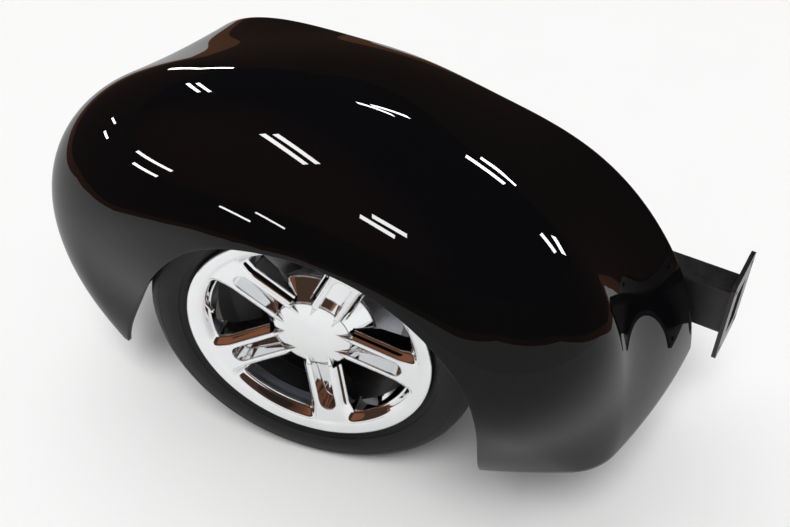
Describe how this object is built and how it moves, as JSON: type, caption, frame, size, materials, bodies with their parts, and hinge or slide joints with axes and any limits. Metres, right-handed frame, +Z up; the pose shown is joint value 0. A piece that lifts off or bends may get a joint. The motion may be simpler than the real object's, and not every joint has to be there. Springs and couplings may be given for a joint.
{
  "type": "hot rod front fender and wheel corner",
  "caption": "Left front corner of a street rod: fat black fender with faired headlamp over a chromed spoke wheel that steers and rolls on wishbone suspension.",
  "frame": {"origin": "centre of the chassis rail's rear splice flange, on its bolting face", "axes": "+X rearwards along the rail, out of the splice flange; +Y inboard, to the car's right; +Z up"},
  "size_m": [1.2923, 0.7412, 0.7827],
  "materials": {
    "black_lacquer": "deep gloss black lacquer",
    "underseal_black": "satin black",
    "chassis_black": "semi-gloss black",
    "arm_steel": "satin black",
    "plated_steel": "zinc plated",
    "damper_alloy": "satin",
    "spring_chrome": "polished",
    "forged_iron": "as cast, machined faces",
    "caliper_silver": "silver paint",
    "disc_steel": "turned",
    "wheel_chrome": "polished",
    "tyre_rubber": "matt with a dressed sidewall",
    "lamp_chrome": "polished",
    "lamp_glass": "clear",
    "lamp_mirror": "silvered inside"
  },
  "bodies": {
    "chassis": {"frame_rail": "chassis_black", "crossmember": "chassis_black", "shock_tower": "chassis_black", "upper_shaft": "plated_steel", "lower_arm": "arm_steel", "upper_arm": "arm_steel", "lower_ball_joint": "plated_steel", "upper_ball_joint": "plated_steel", "damper_body": "damper_alloy", "damper_rod": "plated_steel", "coil_spring": "spring_chrome", "pivot_bolts": "plated_steel", "fender": "black_lacquer", "inner_apron": "underseal_black", "apron_bracket_front": "chassis_black", "apron_bracket_rear": "chassis_black", "headlamp_bucket": "lamp_mirror", "headlamp_bezel": "lamp_chrome", "headlamp_lens": "lamp_glass"},
    "knuckle": {"knuckle": "forged_iron", "caliper": "caliper_silver"},
    "wheel": {"hub": "forged_iron", "brake_disc": "disc_steel", "wheel_face": "wheel_chrome", "wheel_barrel": "wheel_chrome", "centre_cap": "wheel_chrome", "lug_nuts": "wheel_chrome", "valve_stem": "wheel_chrome", "tyre": "tyre_rubber"}
  },
  "joints": [
    {"name": "steering", "type": "hinge", "parent": "chassis", "child": "knuckle", "pos_m": [-0.67176, -0.30882, -0.002], "axis": [-0.0024, 0.1428, 0.9897], "range_deg": [-45, 15]},
    {"name": "wheel_spin", "type": "hinge", "parent": "knuckle", "child": "wheel", "pos_m": [-0.62, -0.502, -0.002], "axis": [-0.2588, 0.9659, 0], "continuous": true}
  ]
}
